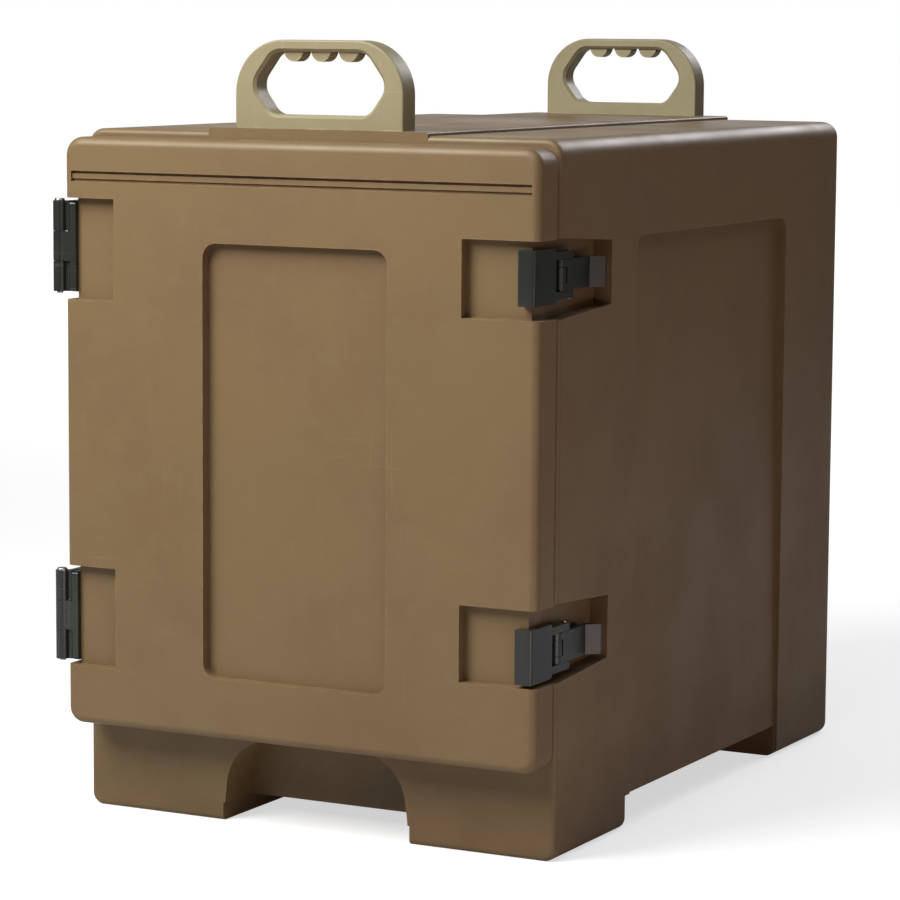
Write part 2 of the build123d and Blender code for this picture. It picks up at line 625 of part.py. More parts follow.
# Latches: a base in the body's pocket, a lever on it, and a hook on the lever that holds the door
POCKET_FLOOR = BODY_HALF - POCKET_DEPTH
LEVER_X, LEVER_Y = LEVER_PIVOT
HOOK_X, HOOK_Y = HOOK_PIVOT
for place, (centre, _) in LATCHES.items():
    wide = span(centre, LEVER_HALF)
    lug = span(centre, LUG_HALF)
    slot = span(centre, LUG_HALF + SIDE_PLAY)
    pin_hole = LATCH_PIN_R + PIN_FIT

    with BuildPart() as latch_base:
        block((POCKET_FLOOR, BASE_FACE), BASE, wide)
        fillet(latch_base.edges().filter_by(Axis.X), BASE_ROUND)
        block((POCKET_FLOOR, LEVER_X), span(LEVER_Y, LUG_R), lug)
        rod_z(LEVER_X, LEVER_Y, lug, LUG_R)
        rod_z(LEVER_X, LEVER_Y, lug, LATCH_PIN_R + HELD_FIT, Mode.SUBTRACT)
        for y in LATCH_SCREW_YS:
            rod_x(y, centre, (POCKET_FLOOR, BASE_FACE), SCREW_R + SCREW_PLAY, Mode.SUBTRACT)
    save(latch_base.part, f"{place}_latch_base")

    with BuildPart() as latch_lever:
        block(LEVER_FACES, (LEVER_Y, LEVER_END), wide)
        finger_points = (
            (LEVER_FACES[0], LEVER_END - FINGER_ROOT / 2),
            (LEVER_FACES[1], LEVER_END - FINGER_ROOT),
            (FINGER_REACH, LEVER_END - FINGER_TIP),
            (FINGER_REACH, LEVER_END),
            (LEVER_FACES[0], LEVER_END),
        )
        with BuildSketch(Plane.XY.offset(wide[0])) as finger:
            with BuildLine():
                Polyline(*finger_points, close=True)
            make_face()
        extrude(finger.sketch, amount=2 * LEVER_HALF)
        rod_z(LEVER_X, LEVER_Y, wide, LUG_R)
        rod_z(HOOK_X, HOOK_Y, wide, LATCH_BOSS_R)
        rim = latch_lever.edges().filter_by(Axis.Z).group_by(Axis.X)[-1]
        fillet(rim, LEVER_EDGE)
        outline_y = (LEVER_Y - 4 * LUG_R, LEVER_END)
        with BuildSketch(Plane.YZ.offset(LEVER_X - 4 * LUG_R)) as outline:
            with Locations((sum(outline_y) / 2, centre)):
                RectangleRounded(outline_y[1] - outline_y[0], 2 * LEVER_HALF, LEVER_CORNER)
        extrude(outline.sketch, amount=8 * LUG_R, mode=Mode.INTERSECT)
        lug_y = (LEVER_Y - 2 * LUG_R, LEVER_Y + LUG_R + LUG_PLAY)
        block(span(LEVER_X, 2 * LUG_R), lug_y, slot, Mode.SUBTRACT)
        rod_z(LEVER_X, LEVER_Y, wide, pin_hole, Mode.SUBTRACT)
        rod_z(HOOK_X, HOOK_Y, wide, LATCH_PIN_R + HELD_FIT, Mode.SUBTRACT)
    save(latch_lever.part, f"{place}_latch_lever")

    with BuildPart() as lever_pin:
        rod_z(LEVER_X, LEVER_Y, span(centre, LEVER_HALF), LATCH_PIN_R)
    save(lever_pin.part, f"{place}_latch_lever_pin")

    arm_in = LEVER_HALF + SIDE_PLAY
    arm_out = arm_in + HOOK_ARM
    with BuildPart() as latch_hook:
        hook_z = span(centre, HOOK_HALF)
        block(HOOK_FACES, (HOOK_FRONT, BODY_FRONT), hook_z)
        block((HOOK_LIP_REACH, HOOK_FACES[1]), (HOOK_FRONT, HOOK_FRONT + HOOK_LIP), hook_z)
        corner = latch_hook.edges().filter_by(Axis.Z).group_by(Axis.Y)[0].sort_by(Axis.X)[-1]
        fillet(corner, HOOK_ROUND)
        ends = latch_hook.edges().filter_by(Axis.X).group_by(Axis.Y)[-1]
        fillet(ends, HOOK_ROUND)
        for arm in ((centre - arm_out, centre - arm_in), (centre + arm_in, centre + arm_out)):
            block(HOOK_FACES, (BODY_FRONT - LAP, HOOK_Y), arm)
            rod_z(HOOK_X, HOOK_Y, arm, LATCH_BOSS_R)
            rod_z(HOOK_X, HOOK_Y, arm, pin_hole, Mode.SUBTRACT)
    save(latch_hook.part, f"{place}_latch_hook")

    with BuildPart() as hook_pin:
        rod_z(HOOK_X, HOOK_Y, span(centre, arm_out + HOOK_PIN_END), LATCH_PIN_R)
    save(hook_pin.part, f"{place}_latch_hook_pin")

    with BuildPart() as latch_screws:
        for y in LATCH_SCREW_YS:
            rod_x(y, centre, (BASE_FACE - BASE_THICK - SCREW_GRIP, BASE_FACE), SCREW_R)
            rod_x(y, centre, (BASE_FACE, BASE_FACE + HEAD_H), HEAD_R)
        fillet(latch_screws.edges().group_by(Axis.X)[-1], HEAD_EDGE)
    save(latch_screws.part, f"{place}_latch_screws")

# Handles, with their screws reaching down through the floor of the grip
for place, y_middle in HANDLE_YS.items():
    y0 = y_middle - HANDLE_THICK / 2
    y1 = y_middle + HANDLE_THICK / 2
    with BuildPart() as handle:
        with BuildSketch(Plane.XZ.offset(-y1)):
            with Locations((0, (SEAT_TOP + HANDLE_TOP) / 2)):
                Rectangle(2 * HANDLE_HALF, HANDLE_TOP - SEAT_TOP)
        extrude(amount=HANDLE_THICK)
        fillet(handle.edges().filter_by(Axis.Y).group_by(Axis.Z)[-1], HANDLE_ROUND)
        outside = handle.faces().sort_by(Axis.Y)
        for face in (outside[0], outside[-1]):
            fillet(face.edges().sort_by(Axis.Z)[1:], HANDLE_EDGE)
        with BuildSketch(Plane.XZ.offset(-y1)) as grip:
            with BuildLine():
                Polyline(
                    (-GRIP_LOW_HALF, GRIP_LOW),
                    (GRIP_LOW_HALF, GRIP_LOW),
                    (GRIP_WAIST_HALF, GRIP_WAIST),
                    (GRIP_TOP_HALF, GRIP_TOP),
                    (-GRIP_TOP_HALF, GRIP_TOP),
                    (-GRIP_WAIST_HALF, GRIP_WAIST),
                    close=True,
                )
            make_face()
            fillet(grip.vertices(), GRIP_ROUND)
        extrude(grip.sketch, amount=HANDLE_THICK, mode=Mode.SUBTRACT)
        rims = [e for e in handle.edges() if e.geom_type in (GeomType.LINE, GeomType.CIRCLE)]
        inner_rims = [
            e
            for e in rims
            if (near(e, "Y", y0) or near(e, "Y", y1))
            and abs(e.center().X) < GRIP_WAIST_HALF
            and GRIP_LOW - LAP < e.center().Z < GRIP_TOP + LAP
        ]
        chamfer(inner_rims, GRIP_RIM)
        with BuildSketch(Plane.XZ.offset(-y1 + BUMP_INSET)) as bumps:
            for x in (-BUMP_PITCH, 0, BUMP_PITCH):
                with Locations((x, GRIP_TOP + BUMP_ROOT)):
                    Ellipse(BUMP_HALF, BUMP_DROP + BUMP_ROOT)
            with Locations((0, GRIP_TOP + BUMP_TRIM)):
                above = (Align.CENTER, Align.MIN)
                Rectangle(2 * HANDLE_HALF, 2 * BUMP_DROP, align=above, mode=Mode.SUBTRACT)
        extrude(bumps.sketch, amount=HANDLE_THICK - 2 * BUMP_INSET)
        for x in HANDLE_SCREWS:
            rod_z(x, y_middle, (SEAT_TOP, GRIP_LOW), SCREW_R + SCREW_PLAY, Mode.SUBTRACT)
            head_z = (GRIP_LOW - HEAD_H - HEAD_SINK, GRIP_LOW)
            rod_z(x, y_middle, head_z, HEAD_R + SCREW_PLAY, Mode.SUBTRACT)
    save(handle.part, f"{place}_handle")

    with BuildPart() as handle_screws:
        under_head = GRIP_LOW - HEAD_H - HEAD_SINK
        for x in HANDLE_SCREWS:
            rod_z(x, y_middle, (SEAT_TOP - SKIN - SCREW_GRIP, under_head), SCREW_R)
            rod_z(x, y_middle, (under_head, under_head + HEAD_H), HEAD_R)
        fillet(handle_screws.edges().group_by(Axis.Z)[-1], HANDLE_HEAD_EDGE)
    save(handle_screws.part, f"{place}_handle_screws")
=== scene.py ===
import bmesh
import bpy
import json
import math
from mathutils import Matrix, Vector


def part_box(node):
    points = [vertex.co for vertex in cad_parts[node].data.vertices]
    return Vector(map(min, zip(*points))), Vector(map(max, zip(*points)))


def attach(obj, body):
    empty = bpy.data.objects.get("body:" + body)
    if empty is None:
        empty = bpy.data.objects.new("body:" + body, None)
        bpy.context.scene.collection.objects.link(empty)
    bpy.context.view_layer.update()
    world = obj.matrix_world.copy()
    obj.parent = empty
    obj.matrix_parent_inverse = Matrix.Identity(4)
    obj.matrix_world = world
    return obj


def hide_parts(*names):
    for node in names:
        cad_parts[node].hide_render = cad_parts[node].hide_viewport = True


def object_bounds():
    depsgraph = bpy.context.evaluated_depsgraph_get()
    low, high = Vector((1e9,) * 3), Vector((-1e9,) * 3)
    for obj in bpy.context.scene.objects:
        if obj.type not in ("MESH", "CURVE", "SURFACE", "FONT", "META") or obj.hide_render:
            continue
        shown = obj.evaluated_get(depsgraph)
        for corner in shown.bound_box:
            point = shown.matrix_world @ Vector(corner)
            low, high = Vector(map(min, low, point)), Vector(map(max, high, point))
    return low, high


# Insulated food carrier: a brown moulded box with a side-hung door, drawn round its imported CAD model.
# Everything is in metres, in the model's own frame: +X to the latches, +Y to the back, +Z up.

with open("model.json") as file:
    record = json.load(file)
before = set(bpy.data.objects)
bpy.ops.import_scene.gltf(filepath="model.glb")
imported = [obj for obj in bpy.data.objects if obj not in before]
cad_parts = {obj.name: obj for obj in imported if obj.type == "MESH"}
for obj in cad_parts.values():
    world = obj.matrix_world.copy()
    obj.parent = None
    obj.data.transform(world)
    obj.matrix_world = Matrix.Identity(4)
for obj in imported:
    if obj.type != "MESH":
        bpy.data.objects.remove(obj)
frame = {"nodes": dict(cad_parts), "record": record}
cad_low, cad_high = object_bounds()

MM = 0.001
SAME_PLACE = 1e-6
HINGE_PLACES = ("upper", "lower")
HANDLE_PLACES = ("front", "rear")


# Camera: the box is seen from its latch side, from a little above the door's middle

CAMERA_PLACE = Vector((1.36905, -2.67356, 0.65555))
CAMERA_YAW = math.radians(27.53)
CAMERA_PITCH = math.radians(7.07)
CAMERA_ROLL = math.radians(0.39)
CAMERA_LENS = 138.52
CAMERA_SENSOR = 36.0


def make_camera():
    """The camera, level but for a slight roll, with no shift and no depth of field."""
    forward = Vector(
        (
            -math.sin(CAMERA_YAW) * math.cos(CAMERA_PITCH),
            math.cos(CAMERA_YAW) * math.cos(CAMERA_PITCH),
            -math.sin(CAMERA_PITCH),
        )
    )
    level = Vector((math.cos(CAMERA_YAW), math.sin(CAMERA_YAW), 0))
    above = level.cross(forward)
    right = math.cos(CAMERA_ROLL) * level + math.sin(CAMERA_ROLL) * above
    up = -math.sin(CAMERA_ROLL) * level + math.cos(CAMERA_ROLL) * above
    turn = Matrix((right, up, -forward)).transposed()
    data = bpy.data.cameras.new("camera")
    data.lens = CAMERA_LENS
    data.sensor_width = CAMERA_SENSOR
    data.clip_end = 50
    camera = bpy.data.objects.new("camera", data)
    camera.matrix_world = Matrix.Translation(CAMERA_PLACE) @ turn.to_4x4()
    bpy.context.scene.collection.objects.link(camera)
    bpy.context.scene.camera = camera


make_camera()


# Shader node helpers

def link(tree, source, target):
    tree.links.new(source, target)


def node(tree, kind, **settings):
    """A shader node with its settings, and its unlinked input values given by name."""
    made = tree.nodes.new(kind)
    for name, value in settings.items():
        if name in made.inputs:
            made.inputs[name].default_value = value
        else:
            setattr(made, name, value)
    return made


def new_group(name, inputs, outputs):
    """An empty node group with named sockets, its input node and its output node."""
    tree = bpy.data.node_groups.new(name, "ShaderNodeTree")
    for socket, (kind, default) in inputs.items():
        made = tree.interface.new_socket(socket, in_out="INPUT", socket_type=kind)
        made.default_value = default
    for socket, kind in outputs.items():
        tree.interface.new_socket(socket, in_out="OUTPUT", socket_type=kind)
    return tree, tree.nodes.new("NodeGroupInput"), tree.nodes.new("NodeGroupOutput")


def math_node(tree, operation, first, second, clamp=False):
    """A maths node on two sockets or numbers."""
    made = node(tree, "ShaderNodeMath", operation=operation, use_clamp=clamp)
    for place, value in enumerate((first, second)):
        if isinstance(value, (int, float)):
            made.inputs[place].default_value = value
        else:
            link(tree, value, made.inputs[place])
    return made.outputs[0]


def mix_colour(tree, mask, first, second):
    """Mixes two colours, each a socket or a plain colour, by a mask."""
    made = node(tree, "ShaderNodeMix", data_type="RGBA")
    link(tree, mask, made.inputs[0])
    for place, value in ((6, first), (7, second)):
        if isinstance(value, bpy.types.NodeSocket):
            link(tree, value, made.inputs[place])
        else:
            made.inputs[place].default_value = value
    return made.outputs[2]


def spread(tree, value, low, high, to_low=0.0, to_high=1.0):
    """Stretches the part of a value between low and high over a new range."""
    made = node(tree, "ShaderNodeMapRange", interpolation_type="SMOOTHSTEP")
    made.inputs["From Min"].default_value = low
    made.inputs["From Max"].default_value = high
    made.inputs["To Min"].default_value = to_low
    made.inputs["To Max"].default_value = to_high
    link(tree, value, made.inputs["Value"])
    return made.outputs["Result"]


def noise(tree, scale, detail=2.0, roughness=0.5, stretch=None, tilt=(0.0, 0.0, 0.0)):
    """Noise over the piece's own coordinates, stretched along its axes and tilted if asked."""
    place = tree.nodes.new("ShaderNodeTexCoord").outputs["Object"]
    if stretch:
        mapping = node(tree, "ShaderNodeMapping", Scale=stretch, Rotation=tilt)
        link(tree, place, mapping.inputs["Vector"])
        place = mapping.outputs["Vector"]
    made = node(tree, "ShaderNodeTexNoise", Detail=detail, Roughness=roughness)
    link(tree, place, made.inputs["Vector"])
    if isinstance(scale, (int, float)):
        made.inputs["Scale"].default_value = scale
    else:
        link(tree, scale, made.inputs["Scale"])
    return made.outputs["Fac"]


# Shared effects

PEBBLE_SHARE = 0.35
WAVE_SHARE = 2.2


def make_moulded_grain():
    """Fine pebble over a slow orange peel, as the mould leaves on the plastic."""
    tree, given, result = new_group(
        "moulded_grain",
        {"Pebble Scale": ("NodeSocketFloat", 900.0), "Peel": ("NodeSocketFloat", 0.5)},
        {"Height": "NodeSocketFloat"},
    )
    pebble = noise(tree, given.outputs["Pebble Scale"], 2.0, 0.55)
    peel = noise(tree, 130.0, 2.0, 0.5)
    waves = noise(tree, 11.0, 1.0, 0.4)
    slow = math_node(tree, "MULTIPLY", peel, given.outputs["Peel"])
    fine = math_node(tree, "MULTIPLY", pebble, PEBBLE_SHARE)
    wide = math_node(tree, "MULTIPLY", waves, WAVE_SHARE)
    height = math_node(tree, "ADD", math_node(tree, "ADD", fine, slow), wide)
    link(tree, height, result.inputs["Height"])
    return tree


def make_mottle():
    """Slow unevenness of tone in the moulded colour, with a finer cloudiness over it."""
    tree, given, result = new_group(
        "mottle",
        {
            "Colour": ("NodeSocketColor", (0.2, 0.2, 0.2, 1)),
            "Warm": ("NodeSocketColor", (0.2, 0.2, 0.2, 1)),
            "Pale": ("NodeSocketColor", (0.3, 0.3, 0.3, 1)),
        },
        {"Colour": "NodeSocketColor", "Cloud": "NodeSocketFloat"},
    )
    cloud = noise(tree, 9.0, 4.0, 0.6)
    fine = noise(tree, 55.0, 3.0, 0.6)
    cloudy = spread(tree, cloud, 0.38, 0.66)
    warm = mix_colour(tree, cloudy, given.outputs["Colour"], given.outputs["Warm"])
    pale_mask = math_node(tree, "MULTIPLY", spread(tree, fine, 0.5, 0.8), 0.28)
    link(tree, mix_colour(tree, pale_mask, warm, given.outputs["Pale"]), result.inputs["Colour"])
    link(tree, cloud, result.inputs["Cloud"])
    return tree


def make_edge_rub_and_highlight():
    """Edges lighter in colour, partly rubbed by handling and partly a painted highlight: 1 on those
    edges, 0 elsewhere.
    """
    tree, given, result = new_group(
        "edge_rub_and_highlight",
        {"Width": ("NodeSocketFloat", 0.002), "Amount": ("NodeSocketFloat", 1.0)},
        {"Mask": "NodeSocketFloat"},
    )
    rounded = node(tree, "ShaderNodeBevel", samples=6)
    link(tree, given.outputs["Width"], rounded.inputs["Radius"])
    flat = tree.nodes.new("ShaderNodeNewGeometry").outputs["True Normal"]
    turn = node(tree, "ShaderNodeVectorMath", operation="DOT_PRODUCT")
    link(tree, rounded.outputs["Normal"], turn.inputs[0])
    link(tree, flat, turn.inputs[1])
    edge = spread(tree, turn.outputs["Value"], 0.97, 0.78)
    broken = spread(tree, noise(tree, 70.0, 4.0, 0.65), 0.4, 0.62)
    mask = math_node(tree, "MULTIPLY", edge, broken)
    amount = math_node(tree, "MULTIPLY", mask, given.outputs["Amount"], True)
    link(tree, amount, result.inputs["Mask"])
    return tree


def make_scuffs():
    """Faint long scratches, broken up into patches, from loading and carrying."""
    tree, given, result = new_group(
        "scuffs", {"Amount": ("NodeSocketFloat", 1.0)}, {"Mask": "NodeSocketFloat"}
    )
    level = noise(tree, 9.0, 3.0, 0.5, (1.0, 1.0, 38.0), (0.5, 0.3, 0.2))
    steep = noise(tree, 9.0, 3.0, 0.5, (34.0, 34.0, 1.2), (0.2, -0.4, 0.0))
    along = spread(tree, level, 0.66, 0.71)
    upright = spread(tree, steep, 0.67, 0.72)
    patch = spread(tree, noise(tree, 5.0, 2.0, 0.5), 0.48, 0.62)
    lines = math_node(tree, "MAXIMUM", along, upright)
    mask = math_node(tree, "MULTIPLY", lines, patch)
    amount = math_node(tree, "MULTIPLY", mask, given.outputs["Amount"], True)
    link(tree, amount, result.inputs["Mask"])
    return tree


def make_low_darkening():
    """Darker tone low on the object, towards the floor: 1 at the floor."""
    tree, given, result = new_group(
        "low_darkening", {"Height": ("NodeSocketFloat", 0.09)}, {"Mask": "NodeSocketFloat"}
    )
    place = tree.nodes.new("ShaderNodeTexCoord").outputs["Object"]
    axes = tree.nodes.new("ShaderNodeSeparateXYZ")
    link(tree, place, axes.inputs[0])
    share = math_node(tree, "DIVIDE", axes.outputs["Z"], given.outputs["Height"])
    near = spread(tree, share, 1.0, 0.0)
    uneven = spread(tree, noise(tree, 26.0, 4.0, 0.6), 0.3, 0.7, 0.4, 1.0)
    link(tree, math_node(tree, "MULTIPLY", near, uneven), result.inputs["Mask"])
    return tree


MOULDED_GRAIN = make_moulded_grain()
MOTTLE = make_mottle()
EDGE_RUB_AND_HIGHLIGHT = make_edge_rub_and_highlight()
SCUFFS = make_scuffs()
LOW_DARKENING = make_low_darkening()


def place_group(tree, group, **values):
    """A shared effect placed in a material with its own values."""
    made = tree.nodes.new("ShaderNodeGroup")
    made.node_tree = group
    for name, value in values.items():
        made.inputs[name.replace("_", " ")].default_value = value
    return made


def new_material(name):
    """A material with an empty tree, its shader and its output already joined."""
    material = bpy.data.materials.new(name)
    material.use_nodes = True
    tree = material.node_tree
    tree.nodes.clear()
    shader = tree.nodes.new("ShaderNodeBsdfPrincipled")
    output = tree.nodes.new("ShaderNodeOutputMaterial")
    link(tree, shader.outputs[0], output.inputs[0])
    return material, tree, shader


def bump(tree, shader, height, strength, distance):
    made = node(tree, "ShaderNodeBump", Strength=strength, Distance=distance)
    link(tree, height, made.inputs["Height"])
    link(tree, made.outputs["Normal"], shader.inputs["Normal"])


RUB_WIDTH = 0.0022
LOW_DARK_SHARE = 0.55
SCUFF_ROUGHENS = 0.18
GRAIN_DEPTH = 0.0006


def moulded_plastic(
    name, colour, warm, pale, rough, rub_and_highlight, scuffed, pebble=900.0, grain=0.35, gloss=0.35
):
    """Moulded plastic: mottled tone, grain, edges lighter (partly rubbed, partly a painted highlight),
    scuffs, and a darker tone near the floor.
    """
    material, tree, shader = new_material(name)
    tone = place_group(tree, MOTTLE, Colour=(*colour, 1), Warm=(*warm, 1), Pale=(*pale, 1))
    # Edge mask: partly rubbed wear, partly a painted highlight along the edges.
    rubbed_and_highlit = place_group(tree, EDGE_RUB_AND_HIGHLIGHT, Width=RUB_WIDTH, Amount=rub_and_highlight)
    scuff = place_group(tree, SCUFFS, Amount=scuffed)
    low_dark = place_group(tree, LOW_DARKENING)
    # Lighter colour for scuffs and for the edge mask; on the edges it is partly wear and partly a
    # painted highlight.
    worn_and_highlit = tuple(min(1.0, 1.5 * c + 0.03) for c in pale)
    darkened = tuple(0.55 * c for c in colour)
    with_edges = mix_colour(tree, rubbed_and_highlit.outputs["Mask"], tone.outputs["Colour"], (*worn_and_highlit, 1))
    scratched = mix_colour(tree, scuff.outputs["Mask"], with_edges, (*worn_and_highlit, 1))
    # The colour is made darker towards the bottom of the object.
    darkening = math_node(tree, "MULTIPLY", low_dark.outputs["Mask"], LOW_DARK_SHARE)
    link(tree, mix_colour(tree, darkening, scratched, (*darkened, 1)), shader.inputs["Base Color"])
    base_rough = spread(tree, tone.outputs["Cloud"], 0.3, 0.7, rough - 0.05, rough + 0.06)
    rougher = math_node(tree, "MULTIPLY", scuff.outputs["Mask"], SCUFF_ROUGHENS)
    link(tree, math_node(tree, "ADD", base_rough, rougher, True), shader.inputs["Roughness"])
    shader.inputs["Specular IOR Level"].default_value = gloss
    texture = place_group(tree, MOULDED_GRAIN, Pebble_Scale=pebble)
    bump(tree, shader, texture.outputs["Height"], grain, GRAIN_DEPTH)
    return material


def make_foam():
    """Pale closed-cell foam, dull and finely pitted."""
    material, tree, shader = new_material("insulating_foam")
    tone = place_group(
        tree,
        MOTTLE,
        Colour=(0.7, 0.58, 0.33, 1),
        Warm=(0.62, 0.49, 0.26, 1),
        Pale=(0.8, 0.7, 0.46, 1),
    )
    link(tree, tone.outputs["Colour"], shader.inputs["Base Color"])
    shader.inputs["Roughness"].default_value = 0.9
    cells = node(tree, "ShaderNodeTexVoronoi", Scale=420.0)
    link(tree, tree.nodes.new("ShaderNodeTexCoord").outputs["Object"], cells.inputs["Vector"])
    bump(tree, shader, cells.outputs["Distance"], 0.6, 0.0008)
    return material


def make_rubber():
    """Soft black seal rubber with a dusty bloom."""
    material, tree, shader = new_material("gasket_rubber")
    bloom = spread(tree, noise(tree, 60.0, 4.0, 0.65), 0.45, 0.75)
    dusty = mix_colour(tree, bloom, (0.018, 0.018, 0.018, 1), (0.05, 0.048, 0.045, 1))
    link(tree, dusty, shader.inputs["Base Color"])
    link(tree, spread(tree, bloom, 0.0, 1.0, 0.5, 0.72), shader.inputs["Roughness"])
    bump(tree, shader, noise(tree, 1500.0, 2.0, 0.5), 0.25, 0.0003)
    return material


def make_steel():
    """Stainless steel with turning marks and a few dull spots."""
    material, tree, shader = new_material("screw_steel")
    spots = spread(tree, noise(tree, 320.0, 4.0, 0.6), 0.5, 0.72)
    metal = mix_colour(tree, spots, (0.56, 0.56, 0.55, 1), (0.34, 0.32, 0.29, 1))
    link(tree, metal, shader.inputs["Base Color"])
    link(tree, spread(tree, spots, 0.0, 1.0, 0.28, 0.5), shader.inputs["Roughness"])
    shader.inputs["Metallic"].default_value = 1.0
    bump(tree, shader, noise(tree, 2600.0, 2.0, 0.5, (1.0, 1.0, 6.0)), 0.2, 0.0001)
    return material


def make_brass():
    """Turned brass of the moulded-in inserts."""
    material, tree, shader = new_material("insert_brass")
    tarnish = spread(tree, noise(tree, 240.0, 4.0, 0.6), 0.42, 0.7)
    metal = mix_colour(tree, tarnish, (0.62, 0.44, 0.17, 1), (0.4, 0.26, 0.1, 1))
    link(tree, metal, shader.inputs["Base Color"])
    link(tree, spread(tree, tarnish, 0.0, 1.0, 0.3, 0.5), shader.inputs["Roughness"])
    shader.inputs["Metallic"].default_value = 1.0
    return material


# Each plastic: its colour, a warmer one and a paler one
SHELL = ((0.166, 0.106, 0.052), (0.154, 0.093, 0.046), (0.186, 0.127, 0.068))
HANDLE = ((0.25, 0.205, 0.125), (0.225, 0.180, 0.105), (0.31, 0.265, 0.175))
NYLON = ((0.016, 0.018, 0.016), (0.012, 0.013, 0.012), (0.03, 0.034, 0.031))

MATERIALS = {
    "shell_brown": moulded_plastic("shell_plastic", *SHELL, 0.44, 0.45, 0.10),
    "liner_brown": moulded_plastic("liner_plastic", *SHELL, 0.42, 0.3, 0.3),
    "handle_tan": moulded_plastic("handle_plastic", *HANDLE, 0.46, 0.55, 0.15),
    "nylon_black": moulded_plastic("latch_nylon", *NYLON, 0.3, 0.25, 0.3, 1600.0, 0.2, 0.6),
    "foam": make_foam(),
    "gasket_rubber": make_rubber(),
    "pin_steel": make_steel(),
    "insert_brass": make_brass(),
}


def give_material(piece, slot):
    """Puts a slot's material on a piece."""
    piece.data.materials.clear()
    piece.data.materials.append(MATERIALS[slot])


for part in frame["record"]["subparts"]:
    cad_node = frame["nodes"][part["node"]]
    give_material(cad_node, part["material_slot"])


# Pieces built in detail over the CAD's plain ones

def finish_piece(mesh, name, body, slot, replaced):
    """Turns a finished bmesh into a piece that rides on a body in place of a CAD node."""
    bmesh.ops.remove_doubles(mesh, verts=mesh.verts, dist=SAME_PLACE)
    bmesh.ops.recalc_face_normals(mesh, faces=mesh.faces)
    data = bpy.data.meshes.new(name)
    mesh.to_mesh(data)
    mesh.free()
    piece = bpy.data.objects.new(name, data)
    bpy.context.scene.collection.objects.link(piece)
    give_material(piece, slot)
    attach(piece, body)
    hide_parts(replaced)
    return piece


def raise_faces(mesh, faces, rise):
    """Extrudes a region by a vector, leaving nothing behind inside, and returns its end faces."""
    edges = list({edge for face in faces for edge in face.edges})
    grown = bmesh.ops.extrude_face_region(mesh, geom=faces + edges)["geom"]
    ends = [part for part in grown if isinstance(part, bmesh.types.BMFace)]
    verts = [part for part in grown if isinstance(part, bmesh.types.BMVert)]
    bmesh.ops.translate(mesh, vec=rise, verts=verts)
    return ends


HEAD_R = 4.5 * MM
SHANK_R = 2.5 * MM
SHANK_TIP = 0.85
TURN_STEPS = 36
DRIVE_R = 2.3 * MM
DRIVE_DEPTH = 0.55
HEAD_PROFILE = ((1.0, 0.0), (1.0, 0.30), (0.955, 0.58), (0.84, 0.82), (0.68, 0.96), (0.60, 1.0))


def add_screw(mesh, seat, outward, head_height, shank_length):
    """A button-head screw with a six-sided drive, its head standing on seat."""
    turn = Vector((0, 0, 1)).rotation_difference(outward).to_matrix().to_4x4()
    place = Matrix.Translation(seat) @ turn
    outline = [(0.0, -shank_length), (SHANK_R * SHANK_TIP, -shank_length), (SHANK_R, 0.0)]
    outline += [(HEAD_R * reach, head_height * height) for reach, height in HEAD_PROFILE]
    points = [mesh.verts.new(place @ Vector((reach, 0, height))) for reach, height in outline]
    edges = [mesh.edges.new(pair) for pair in zip(points, points[1:])]
    crown_place = place @ Vector((0, 0, head_height))
    before = set(mesh.edges)
    bmesh.ops.spin(
        mesh,
        geom=points + edges,
        cent=seat,
        axis=outward,
        angle=2 * math.pi,
        steps=TURN_STEPS,
        use_merge=True,
    )
    new_edges = (set(mesh.edges) - before) | set(edges)
    crown = [
        edge
        for edge in new_edges
        if len(edge.link_faces) == 1
        and all(abs((vert.co - crown_place).dot(outward)) < SAME_PLACE for vert in edge.verts)
    ]
    # The drive: a six-sided hole joined to the head's open top, then sunk
    corners = bmesh.ops.create_circle(
        mesh,
        cap_ends=True,
        segments=6,
        radius=DRIVE_R,
        matrix=place @ Matrix.Translation((0, 0, head_height)),
    )["verts"]
    drive = corners[0].link_faces[0]
    bmesh.ops.bridge_loops(mesh, edges=crown + list(drive.edges))
    raise_faces(mesh, [drive], -outward * head_height * DRIVE_DEPTH)


def solid_boxes(name):
    """The boxes of a CAD node's separate solids, each as its lowest and highest corner."""
    mesh = bmesh.new()
    mesh.from_mesh(frame["nodes"][name].data)
    bmesh.ops.remove_doubles(mesh, verts=mesh.verts, dist=SAME_PLACE)
    left = set(mesh.verts)
    boxes = []
    while left:
        reached = [left.pop()]
        group = list(reached)
        while reached:
            vert = reached.pop()
            for edge in vert.link_edges:
                other = edge.other_vert(vert)
                if other in left:
                    left.remove(other)
                    reached.append(other)
                    group.append(other)
        low = Vector(min(v.co[k] for v in group) for k in range(3))
        high = Vector(max(v.co[k] for v in group) for k in range(3))
        boxes.append((low, high))
    mesh.free()
    return sorted(boxes, key=lambda box: tuple(box[0]))


def make_screws(cad_name, body, outward, head_height):
    """Detailed screws in place of a CAD node's plain ones."""
    mesh = bmesh.new()
    axis = max(range(3), key=lambda k: abs(outward[k]))
    for low, high in solid_boxes(cad_name):
        middle = (low + high) / 2
        ahead = outward[axis] > 0
        top = high[axis] if ahead else low[axis]
        seat = middle.copy()
        seat[axis] = top - outward[axis] * head_height
        length = (high[axis] - low[axis]) - head_height
        add_screw(mesh, seat, outward, head_height, length)
    return finish_piece(mesh, cad_name + "_detailed", body, "pin_steel", cad_name)


HEAD_H = 2.6 * MM
LOW_HEAD_H = 1.8 * MM
TO_LEFT = Vector((-1, 0, 0))
TO_RIGHT = Vector((1, 0, 0))
UPWARD = Vector((0, 0, 1))

